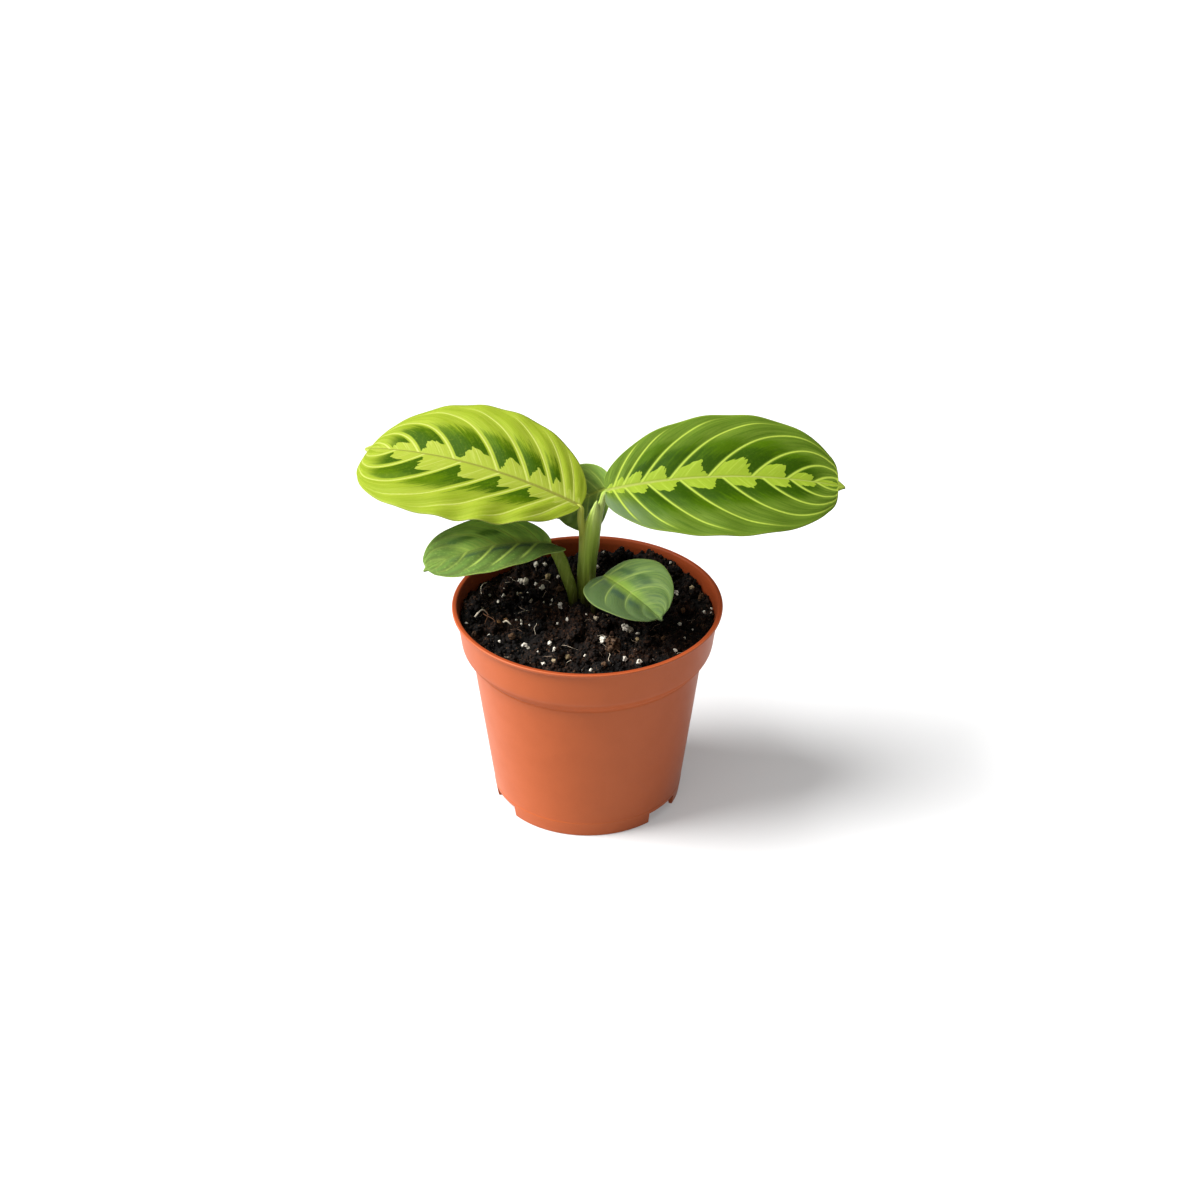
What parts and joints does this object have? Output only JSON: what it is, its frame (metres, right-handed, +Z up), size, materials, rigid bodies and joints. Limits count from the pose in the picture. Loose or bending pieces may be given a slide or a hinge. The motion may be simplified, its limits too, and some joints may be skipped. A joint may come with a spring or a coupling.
{
  "type": "potted prayer plant",
  "caption": "Young prayer plant with broad patterned leaves on sheathed stalks, standing in soil in a tapered plastic nursery pot.",
  "frame": {"origin": "middle of the pot's flat underside, on the surface it stands on", "axes": "+Z up along the pot's axis; +X along the spread of the two large leaves, to the right of someone facing the plant; -Y towards them"},
  "size_m": [0.193, 0.1107, 0.1541],
  "materials": {
    "pot": "smooth semi-matte terracotta-coloured plastic",
    "soil": "moist dark peat with pale perlite grains",
    "stem": "satin green leaf stalk",
    "leaf_lime": "satin lime blade with dark green patches and pale veins",
    "leaf_green": "satin mid green blade with a lime centre and pale veins",
    "leaf_young": "satin greyish green young blade with pale veins"
  },
  "bodies": {
    "root": {"pot": "pot", "soil": "soil", "stem_main": "stem", "stem_small_left": "stem", "stem_small_right": "stem", "stem_back": "stem", "leaf_large_left": "leaf_lime", "leaf_large_right": "leaf_green", "leaf_small_left": "leaf_young", "leaf_small_right": "leaf_young", "leaf_back": "leaf_young"}
  },
  "joints": []
}
